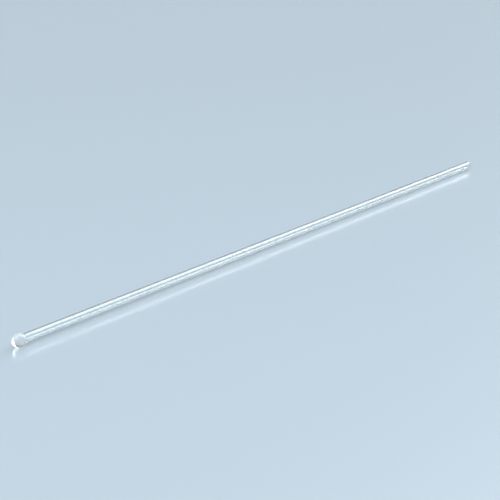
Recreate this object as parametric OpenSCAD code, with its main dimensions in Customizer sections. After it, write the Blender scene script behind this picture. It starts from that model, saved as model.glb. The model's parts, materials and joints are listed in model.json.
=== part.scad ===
// Glass capillary tube with one end melted shut in a round bead.
// It is one piece of drawn borosilicate glass, and lies on the plane z = 0 on its bead and its mouth.
// All sizes are in millimetres.

/* [Tube] */
// Overall length, from the tip of the bead to the mouth
length = 80; // [40:1:150]
// Outer diameter of the drawn tube
tube_d = 1.1; // [0.8:0.05:1.35]
// Thickness of the tube's wall
wall = 0.15; // [0.1:0.01:0.25]
// Rounding of the two edges of the mouth
mouth_round = 0.04; // [0.01:0.01:0.04]

/* [Sealed end] */
// Diameter of the bead
bead_d = 1.65; // [1.4:0.05:2.4]
// Radius of the hollow curve between the bead and the tube
neck_round = 0.6; // [0.1:0.05:1.5]
// Solid glass from the tip of the bead to the end of the bore
end_wall = 1.45; // [0.8:0.05:3]

/* [Hidden] */
// Facets of a full circle in the preview
$fn = 96;

bead_r = bead_d / 2;
tube_r = tube_d / 2;
bore_r = tube_r - wall;

// The outline is drawn with x as the distance from the tube's axis and y along the axis.
// y is 0 at the bead's centre and grows towards the mouth.
mouth_y = length - bead_r;
mouth_edge_y = mouth_y - mouth_round;
bore_end_y = end_wall - bead_r + bore_r;

// The neck's circle touches the bead from outside and the tube's wall from its side.
neck_x = tube_r + neck_round;
neck_y = sqrt(pow(bead_r + neck_round, 2) - pow(neck_x, 2));

// At rest the tube dips towards the mouth, so that the bead and the mouth's lower edge both touch z = 0.
mouth_edge_r = tube_r - mouth_round;
rest_tilt = asin((bead_r - mouth_round) / norm([mouth_edge_y, mouth_edge_r]))
    - atan2(mouth_edge_r, mouth_edge_y);

// Keeps the half of a flat outline that a turn about the axis needs.
module right_half() {
    intersection() {
        children();
        translate([0, -length]) square([length, 3 * length]);
    }
}

// The hollow curve that leads from the bead to the tube's wall.
module neck_outline() {
    difference() {
        polygon([[0, 0], [neck_x, neck_y], [0, neck_y]]);
        translate([neck_x, neck_y]) circle(r = neck_round);
    }
}

// The tube from the bead's centre to the mouth, whose outer edge is rounded.
module wall_outline() {
    square([tube_r, mouth_edge_y]);
    square([mouth_edge_r, mouth_y]);
    translate([mouth_edge_r, mouth_edge_y]) circle(r = mouth_round);
}

// The bore, which ends in a half ball and flares round the mouth's inner edge.
module bore_outline() {
    translate([0, bore_end_y]) circle(r = bore_r);
    translate([0, bore_end_y]) square([bore_r, length]);
    translate([0, mouth_edge_y]) difference() {
        square([bore_r + mouth_round, length]);
        translate([bore_r + mouth_round, 0]) circle(r = mouth_round);
    }
}

// The whole tube, laid down as it rests.
module capillary_tube() {
    color([0.80, 0.88, 0.92, 0.45])
        translate([bead_r - length / 2, 0, bead_r])
            rotate([0, 90 + rest_tilt, 0])
                rotate_extrude()
                    right_half()
                        difference() {
                            union() {
                                circle(r = bead_r);
                                neck_outline();
                                wall_outline();
                            }
                            bore_outline();
                        }
}

capillary_tube();
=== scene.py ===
"""Looks of a glass capillary tube with one end melted shut in a round bead.

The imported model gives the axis, the radii and the box. One turned glass piece stands for the
capillary_tube node: it has the same outline as the CAD solid and a much finer surface.
Every length is in metres unless its name says otherwise.
"""
import json
import logging
import math
from dataclasses import dataclass
from enum import IntEnum
from typing import Any

import bpy
import numpy as np
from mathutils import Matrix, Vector


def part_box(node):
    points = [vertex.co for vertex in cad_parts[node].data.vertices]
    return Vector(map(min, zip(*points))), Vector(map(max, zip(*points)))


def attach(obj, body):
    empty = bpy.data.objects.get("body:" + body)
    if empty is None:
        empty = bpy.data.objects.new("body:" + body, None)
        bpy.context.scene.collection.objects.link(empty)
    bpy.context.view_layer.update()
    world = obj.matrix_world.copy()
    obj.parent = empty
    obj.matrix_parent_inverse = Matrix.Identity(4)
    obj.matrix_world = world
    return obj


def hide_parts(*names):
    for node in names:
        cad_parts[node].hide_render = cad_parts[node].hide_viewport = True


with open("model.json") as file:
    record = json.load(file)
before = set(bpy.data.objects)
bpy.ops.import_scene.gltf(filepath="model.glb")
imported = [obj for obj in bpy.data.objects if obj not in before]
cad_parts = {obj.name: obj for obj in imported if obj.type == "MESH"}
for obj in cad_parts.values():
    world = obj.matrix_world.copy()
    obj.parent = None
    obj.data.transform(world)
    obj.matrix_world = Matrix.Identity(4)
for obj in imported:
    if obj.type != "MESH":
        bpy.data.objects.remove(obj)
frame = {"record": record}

LOG = logging.getLogger("capillary_tube")
MM = 0.001
FULL_TURN = 2 * math.pi
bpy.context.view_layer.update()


def linear(colour: str, alpha: float = 1.0) -> tuple[float, float, float, float]:
    """Turns an sRGB hex colour into the linear RGBA that shaders take.

    Each part follows the sRGB curve: a straight line near black, and a power of 2.4 above it.

    Args:
        colour: The colour, such as "#c8d4de".
        alpha: The fourth channel.

    Returns:
        Red, green, blue and alpha from 0 to 1.
    """
    parts = [int(colour[i : i + 2], 16) / 255 for i in (1, 3, 5)]
    red, green, blue = (
        part / 12.92 if part <= 0.04045 else ((part + 0.055) / 1.055) ** 2.4 for part in parts
    )
    return red, green, blue, alpha


def add_node(
    tree: bpy.types.NodeTree,
    kind: str,
    settings: dict[str | int, Any] | None = None,
    links: dict[str | int, bpy.types.NodeSocket] | None = None,
) -> bpy.types.Node:
    """Adds a node, sets what it holds and joins what feeds it.

    Args:
        tree: The node tree that the node goes into.
        kind: The node's type, such as "ShaderNodeBump".
        settings: Input values by socket name or number, or the node's properties by their name.
        links: The output socket that feeds each input, by the input's name or number.

    Returns:
        The new node.
    """
    node = tree.nodes.new(kind)
    for key, value in (settings or {}).items():
        if isinstance(key, int) or key in node.inputs:
            node.inputs[key].default_value = value
        else:
            setattr(node, key, value)
    for key, source in (links or {}).items():
        tree.links.new(source, node.inputs[key])
    return node


def empty_material(name: str) -> bpy.types.Material:
    """Makes a node material with nothing in it yet.

    Args:
        name: The material's name.

    Returns:
        The material, whose node tree is empty.
    """
    material = bpy.data.materials.new(name)
    material.use_nodes = True
    material.node_tree.nodes.clear()
    return material


class GlassSlot(IntEnum):
    """The tube's two finishes, numbered by their places in the mesh's list of materials."""

    CLEAR = 0
    RIM = 1


@dataclass(frozen=True)
class DrawnBorosilicate:
    """Borosilicate glass, drawn from a gob into thin tube and melted shut in a gas flame.

    The draw leaves a skin as smooth as a liquid's, so it mirrors lights sharply and bends what
    lies behind it. Hair-fine lines run along the draw. A wall this thin hardly shows the trace
    of green in the glass.
    """

    tint: str = "#fcfefd"
    ior: float = 1.473
    roughness: float = 0.0
    # Real draw lines are a few hundredths of a millimetre apart. They are drawn this coarse to show.
    line_spacing: float = 0.12 * MM
    line_length: float = 30 * MM
    line_depth: float = 0.01 * MM
    line_strength: float = 0.05

    def material(self) -> bpy.types.Material:
        """Builds the glass.

        Returns:
            The material, whose draw lines run along X.
        """
        material = empty_material("drawn_borosilicate_glass")
        tree = material.node_tree
        place = add_node(tree, "ShaderNodeTexCoord")
        across, along = 1 / self.line_spacing, 1 / self.line_length
        stretched = add_node(
            tree,
            "ShaderNodeMapping",
            {"Scale": (along, across, across)},
            {"Vector": place.outputs["Object"]},
        )
        lines = add_node(
            tree,
            "ShaderNodeTexNoise",
            {"Scale": 1.0, "Detail": 1.0},
            {"Vector": stretched.outputs["Vector"]},
        )
        bump = add_node(
            tree,
            "ShaderNodeBump",
            {"Strength": self.line_strength, "Distance": self.line_depth},
            {"Height": lines.outputs["Fac"]},
        )
        glass = add_node(
            tree,
            "ShaderNodeBsdfPrincipled",
            {
                "Base Color": linear(self.tint),
                "Roughness": self.roughness,
                "IOR": self.ior,
                "Transmission Weight": 1.0,
            },
            {"Normal": bump.outputs["Normal"]},
        )
        add_node(
            tree,
            "ShaderNodeOutputMaterial",
            links={"Surface": glass.outputs["BSDF"]},
        )
        return material


@dataclass(frozen=True)
class FrostedRimWithPaintedGlow:
    """The same glass where the tube was scored, snapped and passed through the flame once.

    The flame rounds the edge but leaves the snap's fine frost under it. The ring's pale grey-green
    colour is
    painted light: it stands in for the light the wall pipes to it from the whole length, so the ring
    looks evenly pale from every side.
    """

    # Painted glow: this pale grey-green stands in for light the wall pipes to the ring, not the glass's
    # own colour.
    colour: str = "#c6d3d2"
    ior: float = 1.473
    roughness: float = 0.15
    clear: float = 0.6
    # Real frost is a few thousandths of a millimetre across. It is drawn this coarse to show.
    frost_grain: float = 0.04 * MM
    frost_depth: float = 0.01 * MM
    frost_strength: float = 1.0

    def material(self) -> bpy.types.Material:
        """Builds the frosted glass with its painted glow.

        Returns:
            The material, which scatters some of the light and passes the rest.
        """
        material = empty_material("flamed_rim_painted_glow")
        tree = material.node_tree
        place = add_node(tree, "ShaderNodeTexCoord")
        grain = add_node(
            tree,
            "ShaderNodeTexNoise",
            {"Scale": 1 / self.frost_grain, "Detail": 2.0},
            {"Vector": place.outputs["Object"]},
        )
        bump = add_node(
            tree,
            "ShaderNodeBump",
            {"Strength": self.frost_strength, "Distance": self.frost_depth},
            {"Height": grain.outputs["Fac"]},
        )
        frost = add_node(
            tree,
            "ShaderNodeBsdfPrincipled",
            {
                "Base Color": linear(self.colour),
                "Roughness": self.roughness,
                "IOR": self.ior,
                "Transmission Weight": self.clear,
            },
            {"Normal": bump.outputs["Normal"]},
        )
        add_node(
            tree,
            "ShaderNodeOutputMaterial",
            links={"Surface": frost.outputs["BSDF"]},
        )
        return material


@dataclass(frozen=True)
class PaleBenchTop:
    """Pale laminate of a laboratory bench, sealed and wiped clean: even in colour, with a soft gloss."""

    colour: str = "#8a959d"
    roughness: float = 0.22
    ior: float = 1.5

    def material(self) -> bpy.types.Material:
        """Builds the laminate.

        Returns:
            The material.
        """
        material = empty_material("pale_bench_laminate")
        tree = material.node_tree
        sheet = add_node(
            tree,
            "ShaderNodeBsdfPrincipled",
            {"Base Color": linear(self.colour), "Roughness": self.roughness, "IOR": self.ior},
        )
        add_node(
            tree,
            "ShaderNodeOutputMaterial",
            links={"Surface": sheet.outputs["BSDF"]},
        )
        return material


def arc(
    centre: tuple[float, float], radius: float, start: float, end: float, steps: int
) -> np.ndarray:
    """Points along a circle: the centre plus the radius times the cosine and sine of the angle.

    Args:
        centre: The circle's centre, as distance along the axis and distance from it.
        radius: The circle's radius.
        start: The first angle in radians, from the axis's own direction.
        end: The last angle in radians.
        steps: How many chords the arc has.

    Returns:
        steps + 1 points, one a row.
    """
    angle = np.linspace(start, end, steps + 1)
    return np.column_stack(
        [centre[0] + radius * np.cos(angle), centre[1] + radius * np.sin(angle)]
    )


def straight(start: tuple[float, float], end: tuple[float, float], steps: int) -> np.ndarray:
    """Points evenly spaced from start to end, both included, one a row."""
    return np.linspace(start, end, steps + 1)


@dataclass
class CapillaryTube:
    """The drawn tube, its bead, its neck and its bore, as one closed glass surface.

    bore_start and mouth are distances along the axis from the bead's centre. The steps are how
    many faces run round the tube, and along each stretch of the outline: the wall, the bead, the
    neck, the bore's blind end, each rounded edge of the mouth, and the flat ring between them.
    """

    bead_centre: Vector
    axis: Vector
    bead_radius: float
    tube_radius: float
    bore_radius: float
    bore_start: float
    mouth: float
    mouth_round: float
    neck_round: float = 0.6 * MM
    turn_steps: int = 128
    wall_steps: int = 80
    bead_steps: int = 72
    neck_steps: int = 24
    blind_steps: int = 24
    edge_steps: int = 8
    ring_steps: int = 2
    name: str = "drawn_glass_tube"

    @classmethod
    def from_frame(cls, node: str = "capillary_tube", mouth_round: float = 0.04 * MM) -> "CapillaryTube":
        """Reads the tube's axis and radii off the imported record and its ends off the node's box.

        Args:
            node: The CAD node that the tube stands for.
            mouth_round: The rounding of the mouth's two edges.

        Returns:
            The tube, with distances along the axis counted from the bead's centre.
        """
        low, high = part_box(node)
        mounts = {mount["name"]: mount for mount in frame["record"]["mounts"]}
        bore, shaft = mounts["mouth_bore"], mounts["tube_shaft"]
        # The bead is the widest part, so it sets the box's height. The tube tips so little that a
        # length along X is its length along the axis within a few thousandths of a millimetre.
        bead_radius = (high.z - low.z) / 2
        mouth_edge = (high.x - low.x) - bead_radius - mouth_round
        return cls(
            bead_centre=Vector((low.x + bead_radius, 0.0, low.z + bead_radius)),
            axis=Vector(bore["axis"]).normalized(),
            bead_radius=bead_radius,
            tube_radius=shaft["dims"]["r_mm"] * MM,
            bore_radius=bore["dims"]["r_mm"] * MM,
            bore_start=mouth_edge - bore["dims"]["length_mm"] * MM,
            mouth=mouth_edge + mouth_round,
            mouth_round=mouth_round,
        )

    def outline(self) -> np.ndarray:
        """The turned outline: from the bead's tip over the wall and the mouth, and back down the bore.

        The bead and the bore's end are circles about the axis. The neck is a circle that touches
        the bead from outside and the wall from its side, so its centre is a bead radius and a neck
        radius from the bead's centre, and a tube radius and a neck radius from the axis.

        Returns:
            Distance along the axis and distance from it, one point a row, with both ends on it.
        """
        edge = self.mouth - self.mouth_round
        outer_edge, inner_edge = self.tube_radius - self.mouth_round, self.bore_radius + self.mouth_round
        neck_out = self.tube_radius + self.neck_round
        neck_along = math.sqrt((self.bead_radius + self.neck_round) ** 2 - neck_out**2)
        touch = math.atan2(neck_out, neck_along)
        half, quarter = math.pi, math.pi / 2
        stretches = [
            arc((0, 0), self.bead_radius, half, touch, self.bead_steps),
            arc((neck_along, neck_out), self.neck_round, touch - half, -quarter, self.neck_steps),
            straight((neck_along, self.tube_radius), (edge, self.tube_radius), self.wall_steps),
            arc((edge, outer_edge), self.mouth_round, quarter, 0, self.edge_steps),
            straight((self.mouth, outer_edge), (self.mouth, inner_edge), self.ring_steps),
            arc((edge, inner_edge), self.mouth_round, 0, -quarter, self.edge_steps),
            straight((edge, self.bore_radius), (self.bore_start, self.bore_radius), self.wall_steps),
            arc((self.bore_start, 0), self.bore_radius, quarter, half, self.blind_steps),
        ]
        joined = [stretches[0]] + [stretch[1:] for stretch in stretches[1:]]
        return np.vstack(joined)

    def build(self) -> bpy.types.Object:
        """Turns the outline about the axis into one closed mesh, with a fan of triangles at each pole.

        A point at angle a is the bead's centre, plus the axis times the distance along it, plus the
        distance from it times cos a of one cross direction and sin a of the other.

        Returns:
            The tube's object.
        """
        points = self.outline()
        along, out = points[1:-1, 0], points[1:-1, 1]
        angle = np.arange(self.turn_steps) * FULL_TURN / self.turn_steps
        axis, centre = np.array(self.axis), np.array(self.bead_centre)
        # The axis has no part along Y, so +Y is square to it.
        side = np.array([0.0, 1.0, 0.0])
        up = np.cross(axis, side)
        spokes = np.outer(np.cos(angle), side) + np.outer(np.sin(angle), up)
        rings = centre + along[:, None, None] * axis + out[:, None, None] * spokes[None]
        poles = centre + points[[0, -1], :1] * axis
        verts = np.vstack([rings.reshape(-1, 3), poles])

        count = len(along)
        index = np.arange(count * self.turn_steps).reshape(count, self.turn_steps)
        after = np.roll(index, -1, axis=1)
        quads = np.stack([index[:-1], after[:-1], after[1:], index[1:]], axis=-1).reshape(-1, 4)
        tip, blind = count * self.turn_steps, count * self.turn_steps + 1
        tip_fan = np.column_stack([np.full(self.turn_steps, tip), after[0], index[0]])
        blind_fan = np.column_stack([np.full(self.turn_steps, blind), index[-1], after[-1]])

        mesh = bpy.data.meshes.new(self.name)
        faces = quads.tolist() + tip_fan.tolist() + blind_fan.tolist()
        mesh.from_pydata(verts.tolist(), [], faces)
        # The rim's finish starts where the mouth's edges start to round.
        rim = (along[:-1] + along[1:]) / 2 > self.mouth - self.mouth_round
        slots = np.full(len(faces), GlassSlot.CLEAR, dtype=np.int32)
        slots[: len(quads)][np.repeat(rim, self.turn_steps)] = GlassSlot.RIM
        mesh.polygons.foreach_set("material_index", slots)
        mesh.shade_smooth()
        mesh.update()
        piece = bpy.data.objects.new(self.name, mesh)
        bpy.context.scene.collection.objects.link(piece)
        return piece

    def dress(self, piece: bpy.types.Object, glass: DrawnBorosilicate, rim: FrostedRimWithPaintedGlow) -> None:
        """Gives the piece its glass in its two material slots and its body, and hides the CAD node.

        Args:
            piece: The tube's object.
            glass: The finish of all but the mouth's ring.
            rim: The frost and painted glow of the mouth's ring.
        """
        finishes = {GlassSlot.CLEAR: glass, GlassSlot.RIM: rim}
        for slot in GlassSlot:
            piece.data.materials.append(finishes[slot].material())
        # Clear glass this thin leaves only a faint shadow, so scattered light passes it by.
        piece.visible_diffuse = False
        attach(piece, "root")
        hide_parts("capillary_tube")


def on_sphere(azimuth_deg: float, elevation_deg: float, distance: float) -> Vector:
    """A point about the origin. Azimuth 0 is on the -Y side and 90 on the +X side.

    Args:
        azimuth_deg: The turn about +Z from the -Y side, in degrees.
        elevation_deg: The height above the horizon, in degrees.
        distance: The distance from the origin.

    Returns:
        The point.
    """
    azimuth, elevation = math.radians(azimuth_deg), math.radians(elevation_deg)
    level = distance * math.cos(elevation)
    return Vector(
        (level * math.sin(azimuth), -level * math.cos(azimuth), distance * math.sin(elevation))
    )


@dataclass(frozen=True)
class SoftCard:
    """A lit white card in the room: brightest over its middle, and fading away to its rim.

    middle_deg and rim_deg are angles out from its centre. The card is fully bright up to the
    first and gone past the second.
    """

    name: str
    azimuth_deg: float
    elevation_deg: float
    middle_deg: float
    rim_deg: float
    strength: float

    def glow(
        self, tree: bpy.types.NodeTree, direction: bpy.types.NodeSocket
    ) -> bpy.types.NodeSocket:
        """Adds the nodes that say how bright the card is in each direction.

        The cosine of the angle from the card's middle rises from the rim's to the middle's, and the
        brightness rises with it, slowly at both ends.

        Args:
            tree: The world's node tree.
            direction: The direction looked in, of length 1.

        Returns:
            The card's brightness in that direction.
        """
        middle = on_sphere(self.azimuth_deg, self.elevation_deg, 1.0)
        closeness = add_node(
            tree,
            "ShaderNodeVectorMath",
            {"operation": "DOT_PRODUCT", "name": self.name, 1: middle},
            {0: direction},
        )
        fade = add_node(
            tree,
            "ShaderNodeMapRange",
            {
                "interpolation_type": "SMOOTHSTEP",
                "From Min": math.cos(math.radians(self.rim_deg)),
                "From Max": math.cos(math.radians(self.middle_deg)),
                "To Min": 0.0,
                "To Max": self.strength,
            },
            {"Value": closeness.outputs["Value"]},
        )
        return fade.outputs["Result"]


@dataclass
class Studio:
    """The bench top, the room's glow with its soft cards, the overhead fill and the camera."""

    floor_size: float = 6.0
    room_colour: str = "#f4f8fb"
    room_strength: float = 0.18
    fill_strength: float = 0.7
    fill_spread_deg: float = 30.0
    camera_azimuth_deg: float = -45.0
    camera_elevation_deg: float = 23.8
    camera_distance: float = 196 * MM
    camera_near: float = 5 * MM
    camera_far: float = 20.0
    sensor_width_mm: float = 36.0
    view_deg: float = 18.4
    aim: tuple[float, float, float] = (-3.5 * MM, 0.0, 0.7 * MM)
    cards: tuple[SoftCard, ...] = (
        SoftCard(
            "high_mouth_card", azimuth_deg=90, elevation_deg=58, middle_deg=14, rim_deg=38, strength=5.3
        ),
        SoftCard(
            "high_bead_card", azimuth_deg=-90, elevation_deg=58, middle_deg=14, rim_deg=38, strength=3.9
        ),
        SoftCard(
            "low_mouth_card", azimuth_deg=98, elevation_deg=18, middle_deg=6, rim_deg=26, strength=5.5
        ),
        SoftCard(
            "front_card", azimuth_deg=-30, elevation_deg=40, middle_deg=10, rim_deg=60, strength=0.6
        ),
        # Centred straight down, under the bench top, so only its rim shows: a glow round the horizon.
        SoftCard(
            "pale_walls", azimuth_deg=0, elevation_deg=-90, middle_deg=93, rim_deg=108, strength=0.28
        ),
    )

    def floor(self) -> None:
        """Lays the bench top under the tube at height 0."""
        half = self.floor_size / 2
        mesh = bpy.data.meshes.new("bench_top")
        corners = [(-half, -half, 0), (half, -half, 0), (half, half, 0), (-half, half, 0)]
        mesh.from_pydata(corners, [], [(0, 1, 2, 3)])
        mesh.materials.append(PaleBenchTop().material())
        top = bpy.data.objects.new("bench_top", mesh)
        bpy.context.scene.collection.objects.link(top)

    def light(self) -> None:
        """Lights the room with a dim even glow and the soft cards, and keeps colours as they are."""
        world = bpy.data.worlds.new("room")
        world.use_nodes = True
        tree = world.node_tree
        tree.nodes.clear()
        look = add_node(tree, "ShaderNodeTexCoord")
        brightness = add_node(tree, "ShaderNodeValue").outputs["Value"]
        brightness.default_value = self.room_strength
        for card in self.cards:
            glow = card.glow(tree, look.outputs["Generated"])
            total = add_node(tree, "ShaderNodeMath", {"operation": "ADD"}, {0: brightness, 1: glow})
            brightness = total.outputs["Value"]
        room = add_node(
            tree,
            "ShaderNodeBackground",
            {"Color": linear(self.room_colour)},
            {"Strength": brightness},
        )
        add_node(tree, "ShaderNodeOutputWorld", links={"Surface": room.outputs["Background"]})
        bpy.context.scene.world = world
        bpy.context.scene.view_settings.view_transform = "Standard"

    def fill(self) -> None:
        """Adds a fill from straight above, which lightens the tube's shadow as clear glass does.

        Nothing casts a shadow in it, and no surface mirrors it or shows it.
        """
        light = bpy.data.lights.new("overhead_fill", "SUN")
        light.energy = self.fill_strength
        light.angle = math.radians(self.fill_spread_deg)
        light.use_shadow = False
        lamp = bpy.data.objects.new("overhead_fill", light)
        lamp.visible_glossy = False
        lamp.visible_transmission = False
        bpy.context.scene.collection.objects.link(lamp)

    def camera(self) -> None:
        """Looks at the tube from beyond its bead, from the side and a little above."""
        data = bpy.data.cameras.new("camera")
        data.sensor_width = self.sensor_width_mm
        data.lens = self.sensor_width_mm / 2 / math.tan(math.radians(self.view_deg / 2))
        data.clip_start, data.clip_end = self.camera_near, self.camera_far
        camera = bpy.data.objects.new("camera", data)
        camera.location = on_sphere(
            self.camera_azimuth_deg, self.camera_elevation_deg, self.camera_distance
        )
        gaze = Vector(self.aim) - camera.location
        camera.rotation_euler = gaze.to_track_quat("-Z", "Y").to_euler()
        bpy.context.scene.collection.objects.link(camera)
        bpy.context.scene.camera = camera


def main() -> None:
    """Builds the tube and the studio."""
    logging.basicConfig(level=logging.INFO, format="%(name)s: %(message)s")
    tube = CapillaryTube.from_frame()
    piece = tube.build()
    tube.dress(piece, DrawnBorosilicate(), FrostedRimWithPaintedGlow())
    LOG.info("%s has %d faces", piece.name, len(piece.data.polygons))
    studio = Studio()
    studio.floor()
    studio.light()
    studio.fill()
    studio.camera()


if __name__ == "__main__":
    main()
